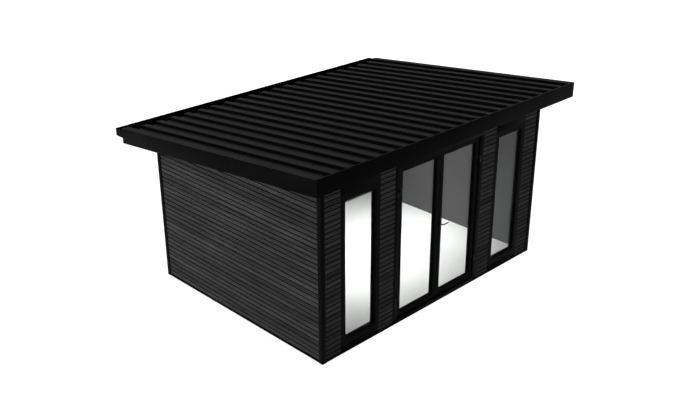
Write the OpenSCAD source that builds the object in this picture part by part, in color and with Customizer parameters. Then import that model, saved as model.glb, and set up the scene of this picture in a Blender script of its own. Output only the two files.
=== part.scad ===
// Garden room shed with a single-slope ribbed roof, glazed double doors and two tall windows.
// The front looks along -Y, +X runs along the front to the right, +Z is up.
// The origin is at the centre of the overall footprint, on the ground.

/* [Building] */
// Width of the building over its corner trims
body_w = 4060; // [3600:10:5200]
// Depth of the building over its corner trims
body_d = 3070; // [2400:10:4000]
// Thickness of the insulated floor
floor_t = 50; // [40:5:120]
// Thickness of the insulated wall panels
panel_t = 90; // [70:5:140]
// Thickness of the cladding boards
cladding_t = 18; // [12:1:25]
// How far the corner trims stand proud of the cladding
trim_t = 12; // [8:1:18]
// Width of each leg of a corner trim
trim_w = 60; // [45:5:90]
// Height of the base trim under the cladding
base_trim_h = 24; // [15:1:40]
// How far the base trim stands proud of the cladding
base_trim_proud = 8; // [4:1:12]

/* [Roof] */
// Height of the front edge of the roof above the ground
front_h = 2500; // [2400:10:3000]
// Fall of the roof towards the back, in degrees
roof_pitch = 6; // [3:0.5:8]
// Roof overhang beyond the side walls
over_side = 310; // [150:5:400]
// Roof overhang beyond the front wall
over_front = 285; // [150:5:400]
// Distance from the back wall to the outer lip of the gutter
over_back = 415; // [300:5:500]
// Height of the fascia boards
fascia_h = 200; // [180:5:260]
// Thickness of the fascia boards
fascia_t = 22; // [15:1:30]
// Thickness of the insulated roof panels
deck_t = 110; // [80:5:130]
// Thickness of the soffit boards
soffit_t = 12; // [9:1:15]
// Centre distance of the sheet ribs
rib_pitch = 217.5; // [180:2.5:260]
// Height of the sheet ribs
rib_h = 38; // [25:1:45]
// Width of the flat crown of a rib
rib_crown = 80; // [50:5:100]
// Run of each sloping side of a rib
rib_side = 10; // [6:1:15]
// Thickness of the roof sheet
sheet_t = 1; // [0.8:0.1:1.5]
// Width of the verge caps along both sides of the roof
cap_w = 100; // [60:5:120]
// Thickness of the verge caps
cap_t = 2; // [1.5:0.5:3]

/* [Gutter] */
// Width of the gutter trough
gutter_w = 261; // [220:1:300]
// Height of the gutter
gutter_h = 100; // [70:5:110]
// Sheet thickness of the gutter
gutter_t = 2.5; // [2:0.5:4]
// Part of the gutter that shows past the side fascias
gutter_show = 143; // [110:1:200]
// Distance of the gutter's lip below the roof plane
gutter_drop = 13; // [5:1:30]
// Width of a gutter bracket
bracket_w = 30; // [20:5:40]
// Material thickness of a gutter bracket
bracket_t = 5; // [4:1:6]
// Number of gutter brackets
bracket_n = 6; // [4:1:8]

/* [Doors] */
// Width of the door set over its frame
door_w = 1660; // [1500:10:1760]
// Height of the door head above the ground
door_top = 2160; // [2080:5:2200]
// Face width of the door frame
jamb_w = 78; // [60:1:90]
// Face width of the stiles and rails of a door leaf
stile_w = 68; // [55:1:90]
// Thickness of a door leaf
leaf_t = 58; // [50:1:68]
// Gap around a door leaf
leaf_gap = 6; // [5:1:8]
// Gap between the two door leaves
meet_gap = 8; // [7:1:12]
// Distance of the door leaf's face behind the frame's face
leaf_set = 14; // [10:1:18]
// Width of the stop that a leaf closes against
stop_w = 12; // [8:1:18]
// Depth of the stop
stop_t = 16; // [12:1:24]
// Thickness of the threshold plate
threshold_t = 8; // [5:1:12]

/* [Windows] */
// Width of a window over its frame
window_w = 640; // [560:10:760]
// Distance from the building's corner to the window
window_in = 310; // [280:5:400]
// Height of the window's lower edge above the ground
window_bottom = 96; // [85:1:200]
// Height of the window's upper edge above the ground
window_top = 2030; // [1800:10:2060]
// Face width of the window frame
window_face = 83; // [60:1:95]
// Depth of the window frame
window_t = 70; // [60:1:80]
// Thickness of a double glazing unit
glass_t = 24; // [20:1:28]
// Distance of the glass behind the frame's face
glass_set = 28; // [20:1:30]

/* [Hinges and handle] */
// Radius of a hinge barrel
barrel_r = 8; // [7:0.5:10]
// Length of a hinge knuckle
knuckle_h = 45; // [35:1:60]
// Radius of the hinge pin
pin_r = 4; // [3:0.5:5]
// Radial clearance of the pin and of the lever's neck
run_clear = 0.05; // [0.03:0.01:0.1]
// Height of the upper hinges above the ground
hinge_high = 1780; // [1500:10:1900]
// Height of the lower hinges above the ground
hinge_low = 360; // [200:10:600]
// Length of a hinge flap
flap_l = 38; // [30:1:50]
// Thickness of a hinge flap
flap_t = 3; // [2:0.5:4]
// Height of the lever above the ground
handle_z = 1100; // [1000:10:1200]
// Length of the lever's grip from its pivot
lever_l = 105; // [90:5:125]
// Thickness of the lever's grip
lever_t = 14; // [10:1:18]
// Distance of the grip's centre line from the leaf
lever_out = 50; // [45:1:65]
// Radius of the lever's neck
neck_r = 8; // [7:0.5:10]
// Length of a handle plate
plate_h = 215; // [150:5:240]
// Width of a handle plate
plate_w = 32; // [28:1:40]
// Thickness of a handle plate
plate_t = 8; // [5:1:10]

/* [Hidden] */
$fn = 48;
// overall footprint and the planes of the walls
total_w = body_w + 2 * over_side;
total_d = over_front + body_d + over_back;
x_left = -body_w / 2;
x_right = body_w / 2;
y_roof = -total_d / 2;
y_lip = total_d / 2;
y_front = y_roof + over_front;
y_back = y_front + body_d;
clad_in = trim_t;
panel_in = trim_t + cladding_t;
inner_in = panel_in + panel_t;
y_face = y_front + clad_in;
y_panel = y_front + panel_in;
y_inner = y_front + inner_in;

// clearance between two pieces that meet on the slope
slope_gap = 0.05;

// layers of the roof, measured square to its slope from the top of the caps
sheet_top = cap_t + slope_gap;
deck_top = sheet_top + rib_h + sheet_t + slope_gap;
deck_bottom = deck_top + deck_t;
soffit_top = deck_bottom + slope_gap;
soffit_bottom = soffit_top + soffit_t;
wall_top = deck_bottom + slope_gap;
cladding_top = soffit_bottom + slope_gap;
x_fascia = total_w / 2 - fascia_t;
y_deck_front = y_roof + fascia_t;
y_gutter = y_lip - gutter_w;
y_deck_back = y_gutter - fascia_t;
y_side_end = y_lip - gutter_show;
sheet_over = 18;
sheet_gap = 1;
rib_count = 2 * floor((x_fascia + rib_crown / 2) / rib_pitch - 0.5);
slope_l = 1 / cos(roof_pitch);

// openings in the front wall, from the left corner to the right corner
window_x = [x_left + window_in, x_right - window_in - window_w];
door_x = -door_w / 2;
header_bottom = door_top;
gutter_top = roof_z(y_lip) - gutter_drop;
gutter_bottom = gutter_top - gutter_h;

// door leaves: the left leaf is drawn and the right one mirrors it
leaf_w = (door_w - 2 * jamb_w - 2 * leaf_gap - meet_gap) / 2;
leaf_x = door_x + jamb_w + leaf_gap;
leaf_y = y_face + leaf_set;
leaf_bottom = floor_t + threshold_t + leaf_gap;
leaf_top = door_top - jamb_w - leaf_gap;
stop_gap = 5;
stop_y = leaf_y + leaf_t + stop_gap;
frame_back = stop_y + stop_t;
upstand_h = 18;
pivot_x = leaf_x - leaf_gap / 2;
pivot_y = y_face - barrel_r - 1;
knuckle_gap = 0.4;
pin_up = 30;
handle_x = meet_gap / 2 + stile_w / 2;
spindle_clear = 4;
lever_end_r = lever_t / 2;
eps = 0.01;

// height of the roof's top plane over a line across the building
function roof_z(y) = front_h - tan(roof_pitch) * (y - y_roof);
// height of a layer that lies a given depth below the top plane, square to the slope
function layer_z(y, depth) = roof_z(y) - depth * slope_l;

// outline in Y and Z, carried along X
module along_x(x0, x1, outline) {
    translate([x0, 0, 0]) rotate([90, 0, 90]) linear_extrude(x1 - x0) polygon(outline);
}

// plain block from one corner to the other
module block(low, high) {
    translate(low) cube(high - low);
}

// slab that follows the roof between two depths below its top plane
module roof_layer(x0, x1, y0, y1, top, bottom) {
    along_x(x0, x1, [
        [y0, layer_z(y0, bottom)], [y1, layer_z(y1, bottom)],
        [y1, layer_z(y1, top)], [y0, layer_z(y0, top)]
    ]);
}

// upright slab with a flat foot and a top that meets a roof layer
module wall_slab(x0, x1, y0, y1, z0, top) {
    along_x(x0, x1, [[y0, z0], [y1, z0], [y1, layer_z(y1, top)], [y0, layer_z(y0, top)]]);
}

// copy on the other side of the building
module other_side() {
    mirror([1, 0, 0]) children();
}

// ---- floor and base ----

module floor_deck() {
    color("gainsboro")
        block([x_left + panel_in, y_panel, 0], [x_right - panel_in, y_back - panel_in, floor_t]);
}

module base_trim_front() {
    color("#101112")
        block([x_left + trim_w, y_face - base_trim_proud, 0], [x_right - trim_w, y_panel, base_trim_h]);
}

module base_trim_back() {
    color("#101112")
        block([x_left + trim_w, y_back - panel_in, 0],
              [x_right - trim_w, y_back - clad_in + base_trim_proud, base_trim_h]);
}

module base_trim_left() {
    color("#101112")
        block([x_left + clad_in - base_trim_proud, y_front + trim_w, 0],
              [x_left + panel_in, y_back - trim_w, base_trim_h]);
}

module base_trim_right() {
    other_side() base_trim_left();
}

// ---- wall panels ----

module wall_left() {
    color("darkgray")
        wall_slab(x_left + panel_in, x_left + inner_in, y_panel, y_back - panel_in, floor_t, wall_top);
}

module wall_right() {
    other_side() wall_left();
}

module wall_back() {
    color("darkgray")
        wall_slab(x_left + inner_in, x_right - inner_in, y_back - inner_in, y_back - panel_in,
                  floor_t, wall_top);
}

module pier(x0, x1) {
    color("darkgray") block([x0, y_panel, floor_t], [x1, y_inner, header_bottom]);
}

module front_pier_left() {
    pier(x_left + inner_in, window_x[0]);
}

module front_pier_mid_left() {
    pier(window_x[0] + window_w, door_x);
}

module front_pier_mid_right() {
    other_side() front_pier_mid_left();
}

module front_pier_right() {
    other_side() front_pier_left();
}

module front_header() {
    color("darkgray")
        wall_slab(x_left + inner_in, x_right - inner_in, y_panel, y_inner, header_bottom, wall_top);
}

// ---- cladding and trims ----

module cladding_left() {
    color("#37393b")
        wall_slab(x_left + clad_in, x_left + panel_in, y_face, y_back - clad_in, base_trim_h, cladding_top);
}

module cladding_right() {
    other_side() cladding_left();
}

module cladding_back() {
    color("#37393b")
        wall_slab(x_left + panel_in, x_right - panel_in, y_back - panel_in, y_back - clad_in,
                  base_trim_h, cladding_top);
}

module cladding_front() {
    color("#37393b") {
        for (strip = [[x_left + panel_in, window_x[0]], [window_x[0] + window_w, door_x]]) {
            wall_slab(strip[0], strip[1], y_face, y_panel, base_trim_h, cladding_top);
            wall_slab(-strip[1], -strip[0], y_face, y_panel, base_trim_h, cladding_top);
        }
    }
}

// angle trim around a corner: end is the wall's outer plane, side is +1 where the building lies behind it
module corner_trim(end, side) {
    color("#101112") difference() {
        linear_extrude(front_h) polygon([
            [x_left, end], [x_left + trim_w, end], [x_left + trim_w, end + side * trim_t],
            [x_left + trim_t, end + side * trim_t], [x_left + trim_t, end + side * trim_w],
            [x_left, end + side * trim_w]
        ]);
        roof_layer(x_left - trim_w, x_left + 2 * trim_w, y_roof, y_lip, -front_h, cladding_top);
    }
}

module corner_trim_front_left() {
    corner_trim(y_front, 1);
}

module corner_trim_front_right() {
    other_side() corner_trim(y_front, 1);
}

module corner_trim_back_left() {
    corner_trim(y_back, -1);
}

module corner_trim_back_right() {
    other_side() corner_trim(y_back, -1);
}

// ---- windows ----

// sill block that stands on the floor and laps over its edge
module window_sill_left() {
    color("#141516") along_x(window_x[0], window_x[0] + window_w, [
        [y_face, base_trim_h], [y_panel, base_trim_h], [y_panel, floor_t], [y_inner, floor_t],
        [y_inner, window_bottom], [y_face, window_bottom]
    ]);
}

module window_sill_right() {
    other_side() window_sill_left();
}

// head block between the window and the header, lapping over the header's face
module window_head_left() {
    color("#141516") along_x(window_x[0], window_x[0] + window_w, [
        [y_face, window_top], [y_inner, window_top], [y_inner, header_bottom],
        [y_panel, header_bottom], [y_panel, layer_z(y_panel, cladding_top)],
        [y_face, layer_z(y_face, cladding_top)]
    ]);
}

module window_head_right() {
    other_side() window_head_left();
}

module window_frame_left() {
    color("#0d0e0f") difference() {
        block([window_x[0], y_face, window_bottom], [window_x[0] + window_w, y_face + window_t, window_top]);
        block([window_x[0] + window_face, y_face - 1, window_bottom + window_face],
              [window_x[0] + window_w - window_face, y_face + window_t + 1, window_top - window_face]);
    }
}

module window_frame_right() {
    other_side() window_frame_left();
}

module window_glass_left() {
    color([0.7, 0.75, 0.78, 0.4])
        block([window_x[0] + window_face, y_face + glass_set, window_bottom + window_face],
              [window_x[0] + window_w - window_face, y_face + glass_set + glass_t, window_top - window_face]);
}

module window_glass_right() {
    other_side() window_glass_left();
}

// ---- door frame ----

module door_jamb_left() {
    color("#0d0e0f") translate([0, 0, floor_t]) linear_extrude(door_top - jamb_w - floor_t) polygon([
        [door_x, y_face], [door_x + jamb_w, y_face], [door_x + jamb_w, stop_y],
        [leaf_x + stop_w, stop_y], [leaf_x + stop_w, frame_back], [door_x, frame_back]
    ]);
}

module door_jamb_right() {
    other_side() door_jamb_left();
}

module door_head() {
    color("#0d0e0f") along_x(door_x, -door_x, [
        [y_face, door_top - jamb_w], [frame_back, door_top - jamb_w],
        [frame_back, door_top], [y_face, door_top]
    ]);
}

module door_head_panel() {
    color("#141516") wall_slab(door_x, -door_x, y_face, y_panel, door_top, cladding_top);
}

// threshold with an upstand behind the leaves, between the stops of the jambs
module door_threshold() {
    color("#1a1b1c") {
        along_x(door_x + jamb_w, -door_x - jamb_w, [
            [y_face - base_trim_proud, base_trim_h], [y_panel, base_trim_h], [y_panel, floor_t],
            [stop_y, floor_t], [stop_y, floor_t + threshold_t], [y_face - base_trim_proud, floor_t + threshold_t]
        ]);
        along_x(leaf_x + stop_w, -leaf_x - stop_w, [
            [stop_y - eps, floor_t], [frame_back, floor_t], [frame_back, floor_t + threshold_t + upstand_h],
            [stop_y, floor_t + threshold_t + upstand_h], [stop_y, floor_t + threshold_t],
            [stop_y - eps, floor_t + threshold_t]
        ]);
    }
}

// ---- door leaves ----

module leaf_frame() {
    difference() {
        block([leaf_x, leaf_y, leaf_bottom], [leaf_x + leaf_w, leaf_y + leaf_t, leaf_top]);
        block([leaf_x + stile_w, leaf_y - 1, leaf_bottom + stile_w],
              [leaf_x + leaf_w - stile_w, leaf_y + leaf_t + 1, leaf_top - stile_w]);
    }
}

module door_leaf_left() {
    color("#0d0e0f") leaf_frame();
}

module door_leaf_right() {
    color("#0d0e0f") difference() {
        other_side() leaf_frame();
        translate([handle_x, leaf_y - 1, handle_z]) rotate([-90, 0, 0])
            cylinder(h = leaf_t + 2, r = neck_r + spindle_clear);
    }
}

module door_glass_left() {
    color([0.7, 0.75, 0.78, 0.4])
        block([leaf_x + stile_w, leaf_y + glass_set, leaf_bottom + stile_w],
              [leaf_x + leaf_w - stile_w, leaf_y + glass_set + glass_t, leaf_top - stile_w]);
}

module door_glass_right() {
    other_side() door_glass_left();
}

// ---- hinges ----

// frame half: lower knuckle with the pin standing in it, and a flap on the jamb's face
module hinge_fixed() {
    union() {
        translate([0, 0, -knuckle_h]) cylinder(h = knuckle_h, r = barrel_r);
        cylinder(h = pin_up, r = pin_r);
        block([-leaf_gap / 2 - flap_l, barrel_r + 1 - flap_t, -knuckle_h], [-leaf_gap / 2, barrel_r + 1, 0]);
    }
}

// leaf half: upper knuckle with a bore, a neck and a flap on the leaf's face
module hinge_moving() {
    face = leaf_y - pivot_y;
    difference() {
        union() {
            translate([0, 0, knuckle_gap]) cylinder(h = knuckle_h, r = barrel_r);
            block([leaf_gap / 2 - 1, 0, knuckle_gap], [leaf_gap / 2 + 5, face - flap_t + eps, knuckle_h]);
            block([leaf_gap / 2, face - flap_t, knuckle_gap], [leaf_gap / 2 + flap_l, face, knuckle_h]);
        }
        translate([0, 0, -1]) cylinder(h = pin_up + 2, r = pin_r + run_clear);
    }
}

module hinge_fixed_left() {
    color("#1c1d1e") for (z = [hinge_low, hinge_high]) translate([pivot_x, pivot_y, z]) hinge_fixed();
}

module hinge_fixed_right() {
    other_side() hinge_fixed_left();
}

module hinge_moving_left() {
    color("#1c1d1e") for (z = [hinge_low, hinge_high]) translate([pivot_x, pivot_y, z]) hinge_moving();
}

module hinge_moving_right() {
    other_side() hinge_moving_left();
}

// ---- handle ----

module handle_plate() {
    difference() {
        hull() for (end = [-1, 1]) {
            translate([0, 0, end * (plate_h - plate_w) / 2]) rotate([90, 0, 0])
                cylinder(h = plate_t, r = plate_w / 2, $fn = 32);
        }
        translate([0, 1, 0]) rotate([90, 0, 0]) cylinder(h = plate_t + 2, r = neck_r + run_clear);
    }
}

module handle_plates() {
    color("#1c1d1e") {
        translate([handle_x, leaf_y, handle_z]) handle_plate();
        translate([handle_x, leaf_y + leaf_t + plate_t, handle_z]) handle_plate();
    }
}

// round bar with a grip at each end, through the leaf and both plates
module door_lever() {
    reach = leaf_t / 2 + lever_out;
    color("#1c1d1e") translate([handle_x, leaf_y + leaf_t / 2, handle_z]) union() {
        translate([0, -reach, 0]) rotate([-90, 0, 0]) cylinder(h = 2 * reach, r = neck_r);
        for (end = [-1, 1]) {
            translate([0, end * reach, 0]) {
                rotate([0, 90, 0]) cylinder(h = lever_l - lever_end_r, r = lever_end_r);
                sphere(r = neck_r);
                translate([lever_l - lever_end_r, 0, 0]) sphere(r = lever_end_r);
            }
        }
    }
}

// ---- roof ----

module roof_deck() {
    color("dimgray") roof_layer(-x_fascia, x_fascia, y_deck_front, y_deck_back, deck_top, deck_bottom);
}

// profile points of the sheet's upper side from left to right, starting and ending on a crown
function rib_line(level) = [
    for (i = [0 : rib_count]) let (middle = (i - rib_count / 2) * rib_pitch)
        for (p = [
            [middle - rib_pitch / 2 + rib_crown / 2, 0], [middle - rib_pitch / 2 + rib_crown / 2 + rib_side, -rib_h],
            [middle + rib_pitch / 2 - rib_crown / 2 - rib_side, -rib_h], [middle + rib_pitch / 2 - rib_crown / 2, 0]
        ]) [p[0], p[1] + level]
];

module roof_sheet() {
    upper = concat([[-x_fascia, 0]], rib_line(0), [[x_fascia, 0]]);
    count = len(upper);
    lower = [for (i = [count - 1 : -1 : 0]) [upper[i][0], upper[i][1] - sheet_t]];
    start = y_deck_front + sheet_gap + (rib_h + sheet_t) * sin(roof_pitch);
    run = (y_gutter + sheet_over - start) * slope_l;
    color("#232425") translate([0, start, layer_z(start, sheet_top)]) rotate([90 - roof_pitch, 0, 0])
        translate([0, 0, -run]) linear_extrude(run) polygon(concat(upper, lower));
}

module verge_cap_left() {
    color("#1b1c1d") roof_layer(-total_w / 2, -total_w / 2 + cap_w, y_deck_front, y_side_end, 0, cap_t);
}

module verge_cap_right() {
    other_side() verge_cap_left();
}

module fascia_front() {
    color("#0f1011") along_x(-total_w / 2, total_w / 2, [
        [y_roof, front_h - fascia_h], [y_deck_front, front_h - fascia_h],
        [y_deck_front, roof_z(y_deck_front)], [y_roof, front_h]
    ]);
}

module fascia_left() {
    color("#0f1011")
        roof_layer(-total_w / 2, -x_fascia, y_deck_front, y_side_end, cap_t, fascia_h / slope_l);
}

module fascia_right() {
    other_side() fascia_left();
}

module fascia_back() {
    color("#0f1011") roof_layer(-x_fascia, x_fascia, y_deck_back, y_gutter, deck_top, fascia_h / slope_l);
}

module soffit_front() {
    color("#151617") roof_layer(-x_fascia, x_fascia, y_deck_front, y_panel, soffit_top, soffit_bottom);
}

module soffit_back() {
    color("#151617") roof_layer(-x_fascia, x_fascia, y_back - panel_in, y_deck_back, soffit_top, soffit_bottom);
}

module soffit_left() {
    color("#151617")
        roof_layer(-x_fascia, x_left + panel_in, y_panel, y_back - panel_in, soffit_top, soffit_bottom);
}

module soffit_right() {
    other_side() soffit_left();
}

// ---- gutter ----

// plan of the trough: it widens to the roof's full width behind the side fascias
module gutter_plan(skin) {
    inner = x_fascia - skin;
    outer = total_w / 2 - skin;
    polygon([
        [-inner, y_gutter + skin], [inner, y_gutter + skin], [inner, y_side_end + skin],
        [outer, y_side_end + skin], [outer, y_lip - skin], [-outer, y_lip - skin],
        [-outer, y_side_end + skin], [-inner, y_side_end + skin]
    ]);
}

module gutter() {
    near_low = 15;
    color("#131415") difference() {
        translate([0, 0, gutter_bottom]) linear_extrude(gutter_h) gutter_plan(0);
        translate([0, 0, gutter_bottom + gutter_t]) linear_extrude(gutter_h) gutter_plan(gutter_t);
        block([-total_w / 2, y_gutter - 1, gutter_top - near_low], [total_w / 2, y_side_end + eps, front_h]);
    }
}

module gutter_brackets() {
    pitch = (body_w - bracket_w) / (bracket_n - 1);
    leg = gutter_bottom - layer_z(y_gutter, fascia_h / slope_l) - 5;
    color("#131415") for (i = [0 : bracket_n - 1]) {
        x = x_left + i * pitch;
        union() {
            block([x, y_gutter, gutter_bottom - bracket_t], [x + bracket_w, y_lip - bracket_t, gutter_bottom]);
            block([x, y_gutter, gutter_bottom - leg], [x + bracket_w, y_gutter + bracket_t, gutter_bottom]);
        }
    }
}

floor_deck();
base_trim_front();
base_trim_back();
base_trim_left();
base_trim_right();
wall_left();
wall_right();
wall_back();
front_pier_left();
front_pier_mid_left();
front_pier_mid_right();
front_pier_right();
front_header();
cladding_left();
cladding_right();
cladding_back();
cladding_front();
corner_trim_front_left();
corner_trim_front_right();
corner_trim_back_left();
corner_trim_back_right();
window_sill_left();
window_sill_right();
window_head_left();
window_head_right();
window_frame_left();
window_frame_right();
window_glass_left();
window_glass_right();
door_jamb_left();
door_jamb_right();
door_head();
door_head_panel();
door_threshold();
door_leaf_left();
door_leaf_right();
door_glass_left();
door_glass_right();
hinge_fixed_left();
hinge_fixed_right();
hinge_moving_left();
hinge_moving_right();
handle_plates();
door_lever();
roof_deck();
roof_sheet();
verge_cap_left();
verge_cap_right();
fascia_front();
fascia_back();
fascia_left();
fascia_right();
soffit_front();
soffit_back();
soffit_left();
soffit_right();
gutter();
gutter_brackets();
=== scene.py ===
import math
import random

import bmesh
import bpy
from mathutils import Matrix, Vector


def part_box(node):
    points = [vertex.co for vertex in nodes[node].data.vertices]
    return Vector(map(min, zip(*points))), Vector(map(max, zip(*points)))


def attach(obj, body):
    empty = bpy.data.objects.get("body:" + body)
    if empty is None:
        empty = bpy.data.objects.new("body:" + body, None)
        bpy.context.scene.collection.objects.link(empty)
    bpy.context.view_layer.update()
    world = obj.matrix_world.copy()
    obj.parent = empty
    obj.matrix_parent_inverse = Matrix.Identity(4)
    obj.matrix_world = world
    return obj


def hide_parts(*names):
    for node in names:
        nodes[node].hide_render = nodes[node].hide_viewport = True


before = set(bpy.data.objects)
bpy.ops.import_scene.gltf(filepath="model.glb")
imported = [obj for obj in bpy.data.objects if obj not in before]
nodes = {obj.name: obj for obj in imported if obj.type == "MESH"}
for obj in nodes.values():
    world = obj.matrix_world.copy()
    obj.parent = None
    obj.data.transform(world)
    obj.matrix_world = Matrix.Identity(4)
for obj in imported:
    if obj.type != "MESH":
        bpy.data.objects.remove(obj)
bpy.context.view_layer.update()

MM = 0.001
SHELL, LEFT, RIGHT = "shell", "left_door", "right_door"

# ---------------------------------------------------------------- driving dimensions, lengths in metres
ROOF_PITCH = math.radians(6)
CLADDING_T = 18 * MM
BOARD_PITCH = 62.7 * MM
GROOVE_W = 13 * MM
GROOVE_D = 10 * MM
BOARD_EDGE = 1.5 * MM
RIB_PITCH = 217.5 * MM
RIB_H = 38 * MM
RIB_CROWN = 80 * MM
RIB_SIDE = 10 * MM
RIBS = 22
GLASS_T = 24 * MM
PANE_T = 4 * MM
GLASS_SET = 28 * MM
WINDOW_FACE = 83 * MM
STILE = 68 * MM
BEAD = 18 * MM
FLAP_H = 45 * MM
FLAP_T = 3 * MM
PIN_ABOVE = 30 * MM


# ---------------------------------------------------------------- materials
def material(name, colour, roughness, specular=0.5):
    """A Principled material; gives the material and its shader."""
    made = bpy.data.materials.new(name)
    made.use_nodes = True
    shader = made.node_tree.nodes["Principled BSDF"]
    shader.inputs["Base Color"].default_value = (*colour, 1)
    shader.inputs["Roughness"].default_value = roughness
    shader.inputs["Specular IOR Level"].default_value = specular
    return made, shader


def node(made, kind, **values):
    """A new shader node with its settings and input values; inputs are named by their label."""
    new = made.node_tree.nodes.new(kind)
    for key, value in values.items():
        if hasattr(new, key):
            setattr(new, key, value)
        else:
            new.inputs[key.replace("_", " ")].default_value = value
    return new


def link(made, source, target):
    made.node_tree.links.new(source, target)


def ramp(made, source, stops):
    """A colour ramp on source, with (place, colour) stops."""
    new = node(made, "ShaderNodeValToRGB")
    elements = new.color_ramp.elements
    while len(elements) < len(stops):
        elements.new(0.5)
    for element, (place, colour) in zip(elements, stops):
        element.position = place
        element.color = (*colour, 1)
    link(made, source, new.inputs["Fac"])
    return new.outputs["Color"]


def spread(made, source, low, high):
    """Maps the middle of a noise value, 0.3 to 0.7, to low to high."""
    new = node(made, "ShaderNodeMapRange")
    new.inputs["From Min"].default_value = 0.3
    new.inputs["From Max"].default_value = 0.7
    new.inputs["To Min"].default_value = low
    new.inputs["To Max"].default_value = high
    link(made, source, new.inputs["Value"])
    return new.outputs["Result"]


def shade(colour, factor):
    return tuple(c * factor for c in colour)


def stretched_noise(made, scale, stretch=(1, 1, 1), offset=None, detail=4, roughness=0.55):
    """Noise on the object's own coordinates, stretched per axis; offset moves it along the noise."""
    coords = node(made, "ShaderNodeTexCoord")
    mapping = node(made, "ShaderNodeMapping")
    mapping.inputs["Scale"].default_value = stretch
    link(made, coords.outputs["Object"], mapping.inputs["Vector"])
    vector = mapping.outputs["Vector"]
    if offset is not None:
        moved = node(made, "ShaderNodeVectorMath", operation="ADD")
        link(made, vector, moved.inputs[0])
        link(made, offset, moved.inputs[1])
        vector = moved.outputs[0]
    noise = node(made, "ShaderNodeTexNoise", Scale=scale, Detail=detail, Roughness=roughness)
    link(made, vector, noise.inputs["Vector"])
    return noise.outputs["Fac"]


def bump(made, shader, height, strength, distance):
    new = node(made, "ShaderNodeBump", Strength=strength, Distance=distance)
    link(made, height, new.inputs["Height"])
    link(made, new.outputs["Normal"], shader.inputs["Normal"])


def coated(name, colour, roughness, specular, variation=0.12, texture=900, relief=0.05):
    """Powder-coated metal: an even colour with faint broad mottling and a fine orange-peel texture."""
    made, shader = material(name, colour, roughness, specular)
    broad = stretched_noise(made, 1.7, detail=3)
    tone = ramp(made, broad, [(0.3, shade(colour, 1 - variation)), (0.7, shade(colour, 1 + variation))])
    link(made, tone, shader.inputs["Base Color"])
    link(made, spread(made, broad, roughness - 0.05, roughness + 0.07), shader.inputs["Roughness"])
    bump(made, shader, stretched_noise(made, texture, detail=1), relief, 0.0005)
    return made


def cladding_material(name, stretch):
    """Charcoal composite board: long grain streaks, a tone of its own per board and an embossed grain, with
    painted shade darkening the bottoms of the grooves between boards.
    """
    dark, mid, light = (0.027, 0.027, 0.0274), (0.047, 0.047, 0.0476), (0.078, 0.078, 0.079)
    made, shader = material(name, mid, 0.72, 0.01)
    tone = node(made, "ShaderNodeAttribute", attribute_name="board_tone")
    shift = node(made, "ShaderNodeVectorMath", operation="SCALE")
    shift.inputs["Scale"].default_value = 37.0
    link(made, tone.outputs["Vector"], shift.inputs[0])
    offset = shift.outputs[0]
    long_grain = stretched_noise(made, 1.0, stretch, offset, detail=5, roughness=0.62)
    fine_stretch = tuple(s * 4 for s in stretch)
    fine_grain = stretched_noise(made, 1.0, fine_stretch, offset, detail=4, roughness=0.7)
    colours = ramp(made, long_grain, [(0.3, dark), (0.5, mid), (0.72, light)])
    fine = ramp(made, fine_grain, [(0.32, (0.72,) * 3), (0.6, (1.12,) * 3)])
    mixed = node(made, "ShaderNodeMix", data_type="RGBA", blend_type="MULTIPLY")
    mixed.inputs["Factor"].default_value = 1.0
    link(made, colours, mixed.inputs["A"])
    link(made, fine, mixed.inputs["B"])
    per_board = node(made, "ShaderNodeMix", data_type="RGBA", blend_type="MULTIPLY")
    per_board.inputs["Factor"].default_value = 1.0
    link(made, mixed.outputs["Result"], per_board.inputs["A"])
    link(made, ramp(made, tone.outputs["Fac"], [(0, (0.84,) * 3), (1, (1.16,) * 3)]), per_board.inputs["B"])
    # painted shade: faces at the bottom of the grooves are darkened to a quarter of the darkest grain tone,
    # standing in for the shadow in the gaps between boards
    groove = node(made, "ShaderNodeAttribute", attribute_name="painted_groove_shade")
    shadowed = node(made, "ShaderNodeMix", data_type="RGBA")
    shadowed.inputs["B"].default_value = (*shade(dark, 0.25), 1)
    link(made, groove.outputs["Fac"], shadowed.inputs["Factor"])
    link(made, per_board.outputs["Result"], shadowed.inputs["A"])
    link(made, shadowed.outputs["Result"], shader.inputs["Base Color"])
    link(made, spread(made, fine_grain, 0.62, 0.82), shader.inputs["Roughness"])
    bump(made, shader, fine_grain, 0.35, 0.0012)
    return made


def glass_material():
    """Clear glass that lets lamp light through, so that the room behind it is lit."""
    made, shader = material("clear_glass", (0.985, 0.993, 0.99), 0.0)
    shader.inputs["Transmission Weight"].default_value = 1.0
    shader.inputs["IOR"].default_value = 1.09
    clear = node(made, "ShaderNodeBsdfTransparent")
    clear.inputs["Color"].default_value = (0.985, 0.993, 0.99, 1)
    path = node(made, "ShaderNodeLightPath")
    mix = node(made, "ShaderNodeMixShader")
    output = made.node_tree.nodes["Material Output"]
    link(made, path.outputs["Is Shadow Ray"], mix.inputs["Fac"])
    link(made, shader.outputs["BSDF"], mix.inputs[1])
    link(made, clear.outputs["BSDF"], mix.inputs[2])
    link(made, mix.outputs["Shader"], output.inputs["Surface"])
    return made


def lining(name, colour, roughness, variation=0.03):
    """Smooth painted lining with a faint roller texture."""
    made, shader = material(name, colour, roughness, 0.3)
    broad = stretched_noise(made, 0.9, detail=2)
    tone = ramp(made, broad, [(0.3, shade(colour, 1 - variation)), (0.7, shade(colour, 1 + variation))])
    link(made, tone, shader.inputs["Base Color"])
    link(made, spread(made, broad, roughness - 0.05, roughness + 0.05), shader.inputs["Roughness"])
    bump(made, shader, stretched_noise(made, 240, detail=2), 0.08, 0.0006)
    return made


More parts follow.
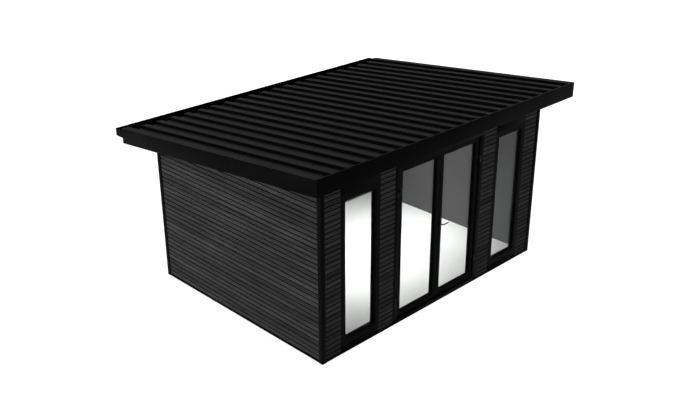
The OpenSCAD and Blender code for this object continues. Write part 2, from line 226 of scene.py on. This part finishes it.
CLADDING_X = cladding_material("cladding_along_x", (1.1, 26, 26))
CLADDING_Y = cladding_material("cladding_along_y", (26, 1.1, 26))
TRIM = coated("black_trim", (0.0036, 0.0036, 0.0037), 0.5, 0.01)
FRAME = coated("black_frame", (0.0028, 0.0028, 0.0029), 0.42, 0.012)
PANEL = coated("black_panel", (0.0026, 0.0026, 0.0027), 0.5, 0.008)
FASCIA = coated("black_fascia", (0.0026, 0.0026, 0.0027), 0.5, 0.008)
SHEET = coated("coated_roof_sheet", (0.0128, 0.0128, 0.0131), 0.46, 0.003, variation=0.08, texture=700)
GUTTER = coated("black_gutter", (0.003, 0.003, 0.0031), 0.45, 0.012)
SOFFIT = coated("black_soffit", (0.004, 0.004, 0.0041), 0.6, 0.01)
HARDWARE = coated("black_hardware", (0.009, 0.009, 0.0095), 0.35, 0.06, texture=1500)
RUBBER = coated("black_rubber", (0.005, 0.005, 0.005), 0.75, 0.02, texture=1600)
SPACER = coated("dark_spacer", (0.009, 0.009, 0.009), 0.6, 0.03)
GLASS = glass_material()
FLOOR = lining("pale_floor_lining", (0.8, 0.8, 0.79), 0.45)
WALL = lining("grey_wall_lining", (0.065, 0.065, 0.065), 0.6)
CEILING = lining("pale_ceiling", (0.5, 0.5, 0.5), 0.6)
FOAM = coated("foam_filler", (0.004, 0.004, 0.004), 0.9, 0.05, texture=400, relief=0.4)


# ---------------------------------------------------------------- mesh tools
def piece(name, bm, made, body, stands_for=(), smooth=False):
    """Turns a bmesh into an object that rides on a body and takes the given material."""
    bmesh.ops.recalc_face_normals(bm, faces=bm.faces[:])
    mesh = bpy.data.meshes.new(name)
    bm.to_mesh(mesh)
    bm.free()
    new = bpy.data.objects.new(name, mesh)
    bpy.context.scene.collection.objects.link(new)
    mesh.materials.append(made)
    if smooth:
        mesh.polygons.foreach_set("use_smooth", [True] * len(mesh.polygons))
        mesh.update()
        mesh.set_sharp_from_angle(angle=math.radians(35))
    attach(new, body)
    if stands_for:
        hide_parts(*stands_for)


def ring_sweep(bm, rings, closed_path=False):
    """Joins equal rings of points into a skin; ends are capped unless the path is closed."""
    made = [[bm.verts.new(p) for p in ring] for ring in rings]
    count = len(made[0])
    pairs = list(zip(made, made[1:])) + ([(made[-1], made[0])] if closed_path else [])
    for a, b in pairs:
        for i in range(count):
            j = (i + 1) % count
            bm.faces.new((a[i], a[j], b[j], b[i]))
    if not closed_path:
        bm.faces.new(made[0][::-1])
        bm.faces.new(made[-1])


def bevelled_box(bm, low, high, radius=1.5 * MM, segments=2):
    """A box with rounded edges."""
    size = Vector(high) - Vector(low)
    made = bmesh.ops.create_cube(bm, size=1.0)["verts"]
    bmesh.ops.scale(bm, vec=size, verts=made)
    bmesh.ops.translate(bm, vec=(Vector(low) + Vector(high)) / 2, verts=made)
    edges = list({e for v in made for e in v.link_edges})
    bmesh.ops.bevel(bm, geom=edges, offset=min(radius, min(size) / 3), segments=segments,
                    affect="EDGES", profile=0.5)


def cylinder(bm, centre, axis, radius, length, sides=20, edge=0.0):
    """A round bar from centre along axis, with an optional chamfer at its far end."""
    along = Vector(axis).normalized()
    across = along.orthogonal().normalized()
    up = along.cross(across)
    stations = [(0, radius), (length - edge, radius)] + ([(length, radius - edge)] if edge else [])
    rings = []
    for place, r in stations:
        middle = Vector(centre) + along * place
        rings.append([middle + (across * math.cos(t) + up * math.sin(t)) * r
                      for t in (2 * math.pi * i / sides for i in range(sides))])
    ring_sweep(bm, rings)


def softened(name, radius=1.5 * MM, segments=2):
    """A copy of a CAD node's mesh with its coplanar triangles joined and its edges rounded."""
    bm = bmesh.new()
    bm.from_mesh(nodes[name].data)
    bmesh.ops.remove_doubles(bm, verts=bm.verts[:], dist=1e-5)
    bmesh.ops.dissolve_limit(bm, angle_limit=math.radians(1), verts=bm.verts[:], edges=bm.edges[:])
    sharp = [e for e in bm.edges if len(e.link_faces) == 2 and e.calc_face_angle() > math.radians(25)]
    bmesh.ops.bevel(bm, geom=sharp, offset=radius, segments=segments, affect="EDGES", profile=0.5,
                    clamp_overlap=True)
    return bm


# ---------------------------------------------------------------- cladding boards
def board_outline(z0, z1):
    """One board as (outward, up) points: a flat face with eased edges between two half grooves."""
    thick = CLADDING_T
    deep = thick - GROOVE_D
    half = GROOVE_W / 2
    return [(0, z0), (deep, z0), (deep, z0 + half), (thick - BOARD_EDGE, z0 + half),
            (thick, z0 + half + BOARD_EDGE), (thick, z1 - half - BOARD_EDGE),
            (thick - BOARD_EDGE, z1 - half), (deep, z1 - half), (deep, z1), (0, z1)]


def add_board(target, layer, z0, z1, place, start, end, plane, tone):
    """One board from start to end; place turns (outward, along, up) into a point, and plane cuts its top."""
    bm = bmesh.new()
    ring_sweep(bm, [[place(out, along, up) for out, up in board_outline(z0, z1)] for along in (start, end)])
    point, normal = plane
    cut = bmesh.ops.bisect_plane(bm, geom=bm.verts[:] + bm.edges[:] + bm.faces[:], plane_co=point,
                                 plane_no=normal, clear_outer=True)
    edges = [g for g in cut["geom_cut"] if isinstance(g, bmesh.types.BMEdge)]
    if edges:
        bmesh.ops.edgeloop_fill(bm, edges=edges)
    bmesh.ops.recalc_face_normals(bm, faces=bm.faces[:])
    copies = {}
    for v in bm.verts:
        new = target.verts.new(v.co)
        new[layer] = tone
        copies[v] = new
    for f in bm.faces:
        target.faces.new([copies[v] for v in f.verts])
    bm.free()


def boards(name, source, runs, place, made, seed, plane):
    """All boards of a wall, as one piece, from the bottom of its CAD slab up to the soffit."""
    low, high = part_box(source)
    bm = bmesh.new()
    layer = bm.verts.layers.float.new("board_tone")
    painted_groove_shade = bm.verts.layers.float.new("painted_groove_shade")
    rng = random.Random(seed)
    count = math.ceil((high.z - low.z) / BOARD_PITCH)
    for k in range(count):
        tone = rng.random()
        for start, end in runs:
            z0 = low.z + k * BOARD_PITCH
            add_board(bm, layer, z0, z0 + BOARD_PITCH, place, start, end, plane, tone)
    face, back = (Vector(place(out, 0, 0)) for out in (CLADDING_T, 0))
    outward = (face - back).normalized()
    # marks the vertices at the bottom of the grooves, where the cladding material paints shade
    for v in bm.verts:
        v[painted_groove_shade] = float((face - v.co).dot(outward) > GROOVE_D - MM)
    piece(name, bm, made, SHELL, stands_for=(source,))


def cladding():
    normal = Vector((0, math.sin(ROOF_PITCH), math.cos(ROOF_PITCH)))
    for side, sign in (("left", -1), ("right", 1)):
        low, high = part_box(f"cladding_{side}")
        inner = high.x if sign < 0 else low.x
        plane = (Vector((0, low.y, high.z)), normal)
        boards(f"cladding_boards_{side}", f"cladding_{side}", [(low.y, high.y)],
               lambda out, along, up, inner=inner, sign=sign: (inner + sign * out, along, up),
               CLADDING_Y, 11 + sign, plane)
    low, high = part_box("cladding_back")
    boards("cladding_boards_back", "cladding_back", [(low.x, high.x)],
           lambda out, along, up, inner=low.y: (along, inner + out, up),
           CLADDING_X, 21, (Vector((0, low.y, high.z)), normal))
    low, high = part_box("cladding_front")
    window_low, window_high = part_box("window_frame_left")
    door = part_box("door_jamb_left")[0].x
    runs = [(low.x, window_low.x), (window_high.x, door), (-door, -window_high.x), (-window_low.x, high.x)]
    boards("cladding_boards_front", "cladding_front", runs,
           lambda out, along, up, inner=high.y: (along, inner - out, up),
           CLADDING_X, 31, (Vector((0, low.y, high.z)), normal))


# ---------------------------------------------------------------- glazed frames
def frame_ring(bm, low, high, profile, y0):
    """A mitred rectangular frame; profile holds (inward, depth) points from the outer edge at face y0."""
    rings = []
    for sx, sz in ((0, 0), (1, 0), (1, 1), (0, 1)):
        ring = []
        for inward, depth in profile:
            x = high.x - inward if sx else low.x + inward
            z = high.z - inward if sz else low.z + inward
            ring.append((x, y0 + depth, z))
        rings.append(ring)
    ring_sweep(bm, rings, closed_path=True)


def frame_profile(face, depth):
    """Section of a window or leaf bar: a flat face, a shadow groove and a sloping glazing bead outside."""
    r, groove = 1.5 * MM, 3 * MM
    start = face - BEAD
    outer = GLASS_SET - 3 * MM
    inner = GLASS_SET + GLASS_T + 3 * MM
    return [(0, depth - r), (0, r), (r, 0), (start - groove - r, 0), (start - groove, r),
            (start - groove, 4 * MM), (start, 4 * MM), (start, r + MM), (start + MM, 2 * MM),
            (face - 5 * MM, 5 * MM), (face, 9 * MM), (face, outer), (face - 6 * MM, outer),
            (face - 6 * MM, inner), (face, inner), (face, depth - r), (face - r, depth), (r, depth)]


def glazing(name, low, high, face, y0, body, glass_node):
    """Two panes with a spacer between them, and a rubber gasket on each side."""
    inside_low = Vector((low.x + face, 0, low.z + face))
    inside_high = Vector((high.x - face, 0, high.z - face))
    bm = bmesh.new()
    lap = 5 * MM
    for y in (y0 + GLASS_SET, y0 + GLASS_SET + GLASS_T - PANE_T):
        bevelled_box(bm, (inside_low.x - lap, y, inside_low.z - lap),
                     (inside_high.x + lap, y + PANE_T, inside_high.z + lap), 0.5 * MM, 1)
    piece(f"{name}_panes", bm, GLASS, body, stands_for=(glass_node,))
    bm = bmesh.new()
    spacer = [(-4 * MM, PANE_T + 0.2 * MM), (7 * MM, PANE_T + 0.2 * MM),
              (7 * MM, GLASS_T - PANE_T - 0.2 * MM), (-4 * MM, GLASS_T - PANE_T - 0.2 * MM)]
    frame_ring(bm, inside_low, inside_high, spacer, y0 + GLASS_SET)
    piece(f"{name}_spacer", bm, SPACER, body)
    bm = bmesh.new()
    for y, side in ((y0 + GLASS_SET, -1), (y0 + GLASS_SET + GLASS_T, 1)):
        lip = [(-5 * MM, side * 0.2 * MM), (3 * MM, side * 0.2 * MM), (3.6 * MM, side * 1.2 * MM),
               (2 * MM, side * 3 * MM), (-0.3 * MM, side * 4.5 * MM), (-5 * MM, side * 2.8 * MM)]
        frame_ring(bm, inside_low, inside_high, lip, y)
    piece(f"{name}_gaskets", bm, RUBBER, body, smooth=True)


def window(side):
    low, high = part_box(f"window_frame_{side}")
    bm = bmesh.new()
    frame_ring(bm, low, high, frame_profile(WINDOW_FACE, high.y - low.y), low.y)
    piece(f"window_bars_{side}", bm, FRAME, SHELL, stands_for=(f"window_frame_{side}",), smooth=True)
    glazing(f"window_{side}", low, high, WINDOW_FACE, low.y, SHELL, f"window_glass_{side}")


def door_leaf(side, body):
    low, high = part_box(f"door_leaf_{side}")
    bm = bmesh.new()
    frame_ring(bm, low, high, frame_profile(STILE, high.y - low.y), low.y)
    piece(f"door_bars_{side}", bm, FRAME, body, stands_for=(f"door_leaf_{side}",), smooth=True)
    glazing(f"door_{side}", low, high, STILE, low.y, body, f"door_glass_{side}")


# ---------------------------------------------------------------- hinges, handle and screws
def screw_head(bm, centre, axis, radius):
    """A chamfered round head, standing just proud of its plate."""
    cylinder(bm, centre, axis, radius, 0.9 * MM, sides=16, edge=0.4 * MM)


def hinge_screws():
    """Four screws in each hinge flap."""
    for side, body in (("left", LEFT), ("right", RIGHT)):
        for kind, rides, pin in (("fixed", SHELL, PIN_ABOVE), ("moving", body, 0)):
            name = f"hinge_{kind}_{side}"
            low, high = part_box(name)
            ends_right = (side == "right") == (kind == "fixed")
            far, inward = (high.x, -1) if ends_right else (low.x, 1)
            bm = bmesh.new()
            for z0 in (low.z, high.z - pin - FLAP_H):
                for dz in (11 * MM, 34 * MM):
                    for dx in (9 * MM, 24 * MM):
                        screw_head(bm, (far + inward * dx, flap_face(name), z0 + dz), (0, -1, 0), 3.4 * MM)
            piece(f"hinge_screws_{kind}_{side}", bm, HARDWARE, rides, smooth=True)


def flap_face(name):
    """Y of a hinge flap's outer face: its back less the flap's thickness."""
    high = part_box(name)[1]
    return high.y - FLAP_T


def lock():
    """Lock cylinder under the lever on both sides of the leaf, and the plates' screws."""
    low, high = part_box("handle_plates")
    middle = (low.x + high.x) / 2
    bm = bmesh.new()
    for y, out in ((low.y, -1), (high.y, 1)):
        z = low.z + 46 * MM
        cylinder(bm, (middle, y, z), (0, out, 0), 8.5 * MM, 3 * MM, sides=28, edge=0.8 * MM)
        bevelled_box(bm, (middle - 5 * MM, min(y, y + out * 2 * MM), z - 22 * MM),
                     (middle + 5 * MM, max(y, y + out * 2 * MM), z - 4 * MM), MM)
    piece("lock_cylinders", bm, HARDWARE, RIGHT, smooth=True)
    bm = bmesh.new()
    for y, out in ((low.y, -1), (high.y, 1)):
        for z in (low.z + 9 * MM, high.z - 9 * MM):
            screw_head(bm, (middle, y, z), (0, out, 0), 3 * MM)
    piece("handle_screws", bm, HARDWARE, RIGHT, smooth=True)


# ---------------------------------------------------------------- roof and gutter
def roof_point(x, along, above, origin):
    """A point on the sheet: along the slope from its front edge, and above its crowns' plane."""
    y0, z0 = origin
    return (x, y0 + along * math.cos(ROOF_PITCH) + above * math.sin(ROOF_PITCH),
            z0 - along * math.sin(ROOF_PITCH) + above * math.cos(ROOF_PITCH))


def rib_centres():
    return [(i + 0.5) * RIB_PITCH for i in range(-RIBS // 2, RIBS // 2)]


def roof_details():
    low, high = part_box("roof_sheet")
    origin = (low.y + RIB_H * math.sin(ROOF_PITCH), high.z)
    length = (high.y - origin[0]) / math.cos(ROOF_PITCH)
    crown = RIB_CROWN / 2
    # side laps: the edge of each upper sheet over the crown of every fifth rib
    bm = bmesh.new()
    t = 0.8 * MM
    for centre in rib_centres()[5:-1:5]:
        run = RIB_SIDE * 0.9
        drop = RIB_H * 0.9
        outline = [(centre - crown, 0.1 * MM), (centre - crown, t), (centre + crown + 0.3 * MM, t),
                   (centre + crown + run + t, -drop), (centre + crown + run, -drop),
                   (centre + crown, 0.1 * MM)]
        ring_sweep(bm, [[roof_point(x, s, up, origin) for x, up in outline]
                        for s in (2 * MM, length - 2 * MM)])
    piece("sheet_laps", bm, SHEET, SHELL)
    # fixing screws with washers, in rows across the pans
    bm = bmesh.new()
    normal = (0, math.sin(ROOF_PITCH), math.cos(ROOF_PITCH))
    rows, margin = 5, 0.12
    for k in range(rows):
        s = margin + (length - 2 * margin) * k / (rows - 1)
        for centre in rib_centres()[:-1]:
            place = roof_point(centre + RIB_PITCH / 2, s, -RIB_H, origin)
            cylinder(bm, place, normal, 9 * MM, 1.5 * MM, sides=14, edge=0.6 * MM)
            cylinder(bm, Vector(place) + Vector(normal) * 1.5 * MM, normal, 4.5 * MM, 4.5 * MM, sides=6,
                     edge=0.6 * MM)
    piece("roof_screws", bm, SHEET, SHELL)
    # foam fillers that close the ribs at the eaves
    bm = bmesh.new()
    for centre in rib_centres()[1:-1]:
        outline = [(centre - crown - RIB_SIDE + MM, -RIB_H), (centre - crown + MM, -1.5 * MM),
                   (centre + crown - MM, -1.5 * MM), (centre + crown + RIB_SIDE - MM, -RIB_H)]
        ring_sweep(bm, [[roof_point(x, s, up, origin) for x, up in outline]
                        for s in (length - 40 * MM, length - 12 * MM)])
    piece("rib_fillers", bm, FOAM, SHELL)


def gutter_details():
    """Rolled bead along the gutter's outer lip."""
    low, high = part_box("gutter")
    bm = bmesh.new()
    r = 5 * MM
    start = (low.x + MM, high.y - r, high.z - r)
    cylinder(bm, start, (1, 0, 0), r, high.x - low.x - 2 * MM, sides=18)
    piece("gutter_bead", bm, GUTTER, SHELL, smooth=True)


# ---------------------------------------------------------------- jamb feet and plain nodes
def jamb_feet():
    """Blocks under the door jambs, between the base trim and the foot of each jamb."""
    bm = bmesh.new()
    trim_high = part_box("base_trim_front")[1]
    for side in ("left", "right"):
        low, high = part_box(f"door_jamb_{side}")
        bevelled_box(bm, (low.x, low.y, trim_high.z), (high.x, trim_high.y, low.z), MM)
    piece("jamb_feet", bm, FRAME, SHELL, smooth=True)


def plain_nodes():
    """Gives each CAD node that stays its material, and replaces square trims by copies with eased edges."""
    kept = {
        "floor_deck": FLOOR, "wall_left": WALL, "wall_right": WALL, "wall_back": WALL,
        "front_pier_left": WALL, "front_pier_mid_left": WALL, "front_pier_mid_right": WALL,
        "front_pier_right": WALL, "front_header": WALL, "roof_deck": CEILING, "roof_sheet": SHEET,
        "verge_cap_left": SHEET, "verge_cap_right": SHEET, "soffit_front": SOFFIT, "soffit_back": SOFFIT,
        "soffit_left": SOFFIT, "soffit_right": SOFFIT, "gutter": GUTTER, "gutter_brackets": GUTTER,
        "hinge_fixed_left": HARDWARE, "hinge_fixed_right": HARDWARE, "hinge_moving_left": HARDWARE,
        "hinge_moving_right": HARDWARE, "handle_plates": HARDWARE, "door_lever": HARDWARE,
    }
    for name, made in kept.items():
        mesh = nodes[name].data
        mesh.materials.clear()
        mesh.materials.append(made)
    eased = [
        (("base_trim_front", "base_trim_back", "base_trim_left", "base_trim_right",
          "corner_trim_front_left", "corner_trim_front_right", "corner_trim_back_left",
          "corner_trim_back_right"), TRIM, "trim", 1.5 * MM),
        (("window_sill_left", "window_sill_right", "window_head_left", "window_head_right",
          "door_head_panel"), PANEL, "trim", MM),
        (("door_jamb_left", "door_jamb_right", "door_head", "door_threshold"), FRAME, "frame", MM),
        (("fascia_front", "fascia_back", "fascia_left", "fascia_right"), FASCIA, "fascia", 2 * MM),
    ]
    for names, made, slot, radius in eased:
        for name in names:
            piece(f"{name}_eased", softened(name, radius), made, SHELL, stands_for=(name,), smooth=True)


# ---------------------------------------------------------------- stage, light and camera
# strengths of the surround as a light and of the stage floor as it is seen
WORLD_LEVEL = 0.16
GLOW_LEVEL = 0.94


def straight_rays(made):
    """1 for rays that reach the camera past no diffuse surface, by glass or mirror at most; else 0."""
    path = node(made, "ShaderNodeLightPath")
    seen = path.outputs["Is Camera Ray"]
    for kind in ("Is Transmission Ray", "Is Glossy Ray"):
        either = node(made, "ShaderNodeMath", operation="MAXIMUM")
        link(made, seen, either.inputs[0])
        link(made, path.outputs[kind], either.inputs[1])
        seen = either.outputs[0]
    direct = node(made, "ShaderNodeMath", operation="LESS_THAN")
    direct.inputs[1].default_value = 0.5
    link(made, path.outputs["Diffuse Depth"], direct.inputs[0])
    both = node(made, "ShaderNodeMath", operation="MULTIPLY")
    link(made, seen, both.inputs[0])
    link(made, direct.outputs[0], both.inputs[1])
    return both.outputs[0]


def stage_floor():
    """A plain pale floor that keeps a faint shadow and glows for straight rays only."""
    bm = bmesh.new()
    half = 60.0
    corners = ((-half, -half), (half, -half), (half, half), (-half, half))
    bm.faces.new([bm.verts.new((x, y, -0.5 * MM)) for x, y in corners])
    mesh = bpy.data.meshes.new("stage_floor")
    bm.to_mesh(mesh)
    bm.free()
    ground = bpy.data.objects.new("stage_floor", mesh)
    bpy.context.scene.collection.objects.link(ground)
    made = bpy.data.materials.new("stage_white")
    made.use_nodes = True
    made.node_tree.nodes.remove(made.node_tree.nodes["Principled BSDF"])
    diffuse = node(made, "ShaderNodeBsdfDiffuse")
    diffuse.inputs["Color"].default_value = (0.3, 0.3, 0.3, 1)
    glow = node(made, "ShaderNodeEmission", Strength=GLOW_LEVEL)
    dark = node(made, "ShaderNodeEmission", Strength=0.0)
    pick = node(made, "ShaderNodeMixShader")
    link(made, straight_rays(made), pick.inputs["Fac"])
    link(made, dark.outputs[0], pick.inputs[1])
    link(made, glow.outputs[0], pick.inputs[2])
    both = node(made, "ShaderNodeAddShader")
    link(made, diffuse.outputs[0], both.inputs[0])
    link(made, pick.outputs[0], both.inputs[1])
    link(made, both.outputs[0], made.node_tree.nodes["Material Output"].inputs["Surface"])
    mesh.materials.append(made)


def surround():
    """A white surround for straight rays, and a dim one for the light it gives."""
    world = bpy.data.worlds.new("studio")
    world.use_nodes = True
    bpy.context.scene.world = world
    back = world.node_tree.nodes["Background"]
    back.inputs["Color"].default_value = (1, 1, 1, 1)
    level = node(world, "ShaderNodeMapRange")
    level.inputs["To Min"].default_value = WORLD_LEVEL
    level.inputs["To Max"].default_value = 1.0
    link(world, straight_rays(world), level.inputs["Value"])
    link(world, level.outputs["Result"], back.inputs["Strength"])


def lamp(name, place, aim, size, level):
    """A square area lamp; level is about how bright a far lamp makes a white surface at its aim."""
    data = bpy.data.lights.new(name, "AREA")
    data.size = size
    distance = (Vector(aim) - Vector(place)).length
    data.energy = level * math.pi ** 2 * distance ** 2
    new = bpy.data.objects.new(name, data)
    new.location = place
    new.rotation_euler = (Vector(aim) - Vector(place)).to_track_quat("-Z", "Y").to_euler()
    bpy.context.scene.collection.objects.link(new)
    return new


def sun(name, tilt_right, tilt_back, softness, level):
    """A soft distant lamp from above; level is how bright it makes a white surface that faces it."""
    data = bpy.data.lights.new(name, "SUN")
    data.angle = math.radians(softness)
    data.energy = level * math.pi
    new = bpy.data.objects.new(name, data)
    new.rotation_euler = (math.radians(-tilt_back), math.radians(tilt_right), 0)
    bpy.context.scene.collection.objects.link(new)


def lights():
    """Two low lamps, a soft sun from above, a weak front lamp, and a wide lamp under the ceiling."""
    lamp("left_key", (-9.5, 1.0, 0.9), (-2.0, 0.0, 1.2), 2.2, 0.8)
    lamp("back_fill", (7.0, 9.0, 0.62), (1.0, 1.0, 1.2), 1.2, 0.35)
    sun("top_key", 17, 6, 38, 0.85)
    lamp("front_fill", (0.0, -9.0, 3.0), (0.0, -1.6, 1.2), 3.0, 0.16)
    room = lamp("room_lamp", (0.35, -0.05, 1.88), (0.35, -0.05, 0.1), 3.0, 1.32)
    room.data.shape = "RECTANGLE"
    room.data.size_y = 1.6
    room.data.spread = math.radians(105)


def camera():
    """Looks along the diagonal from the front left corner."""
    data = bpy.data.cameras.new("camera")
    data.sensor_width = 36.0
    data.lens = 47.48
    new = bpy.data.objects.new("camera", data)
    bpy.context.scene.collection.objects.link(new)
    aim = Vector((0, 0, 0.789))
    azimuth, elevation, distance = math.radians(-45), math.radians(24.97), 12.627
    back = Vector((math.sin(azimuth) * math.cos(elevation), -math.cos(azimuth) * math.cos(elevation),
                   math.sin(elevation)))
    new.location = aim + back * distance
    new.rotation_euler = (-back).to_track_quat("-Z", "Y").to_euler()
    bpy.context.scene.camera = new


cladding()
for side_name in ("left", "right"):
    window(side_name)
door_leaf("left", LEFT)
door_leaf("right", RIGHT)
hinge_screws()
lock()
roof_details()
gutter_details()
jamb_feet()
plain_nodes()
stage_floor()
surround()
lights()
camera()
bpy.context.scene.view_settings.view_transform = "Standard"
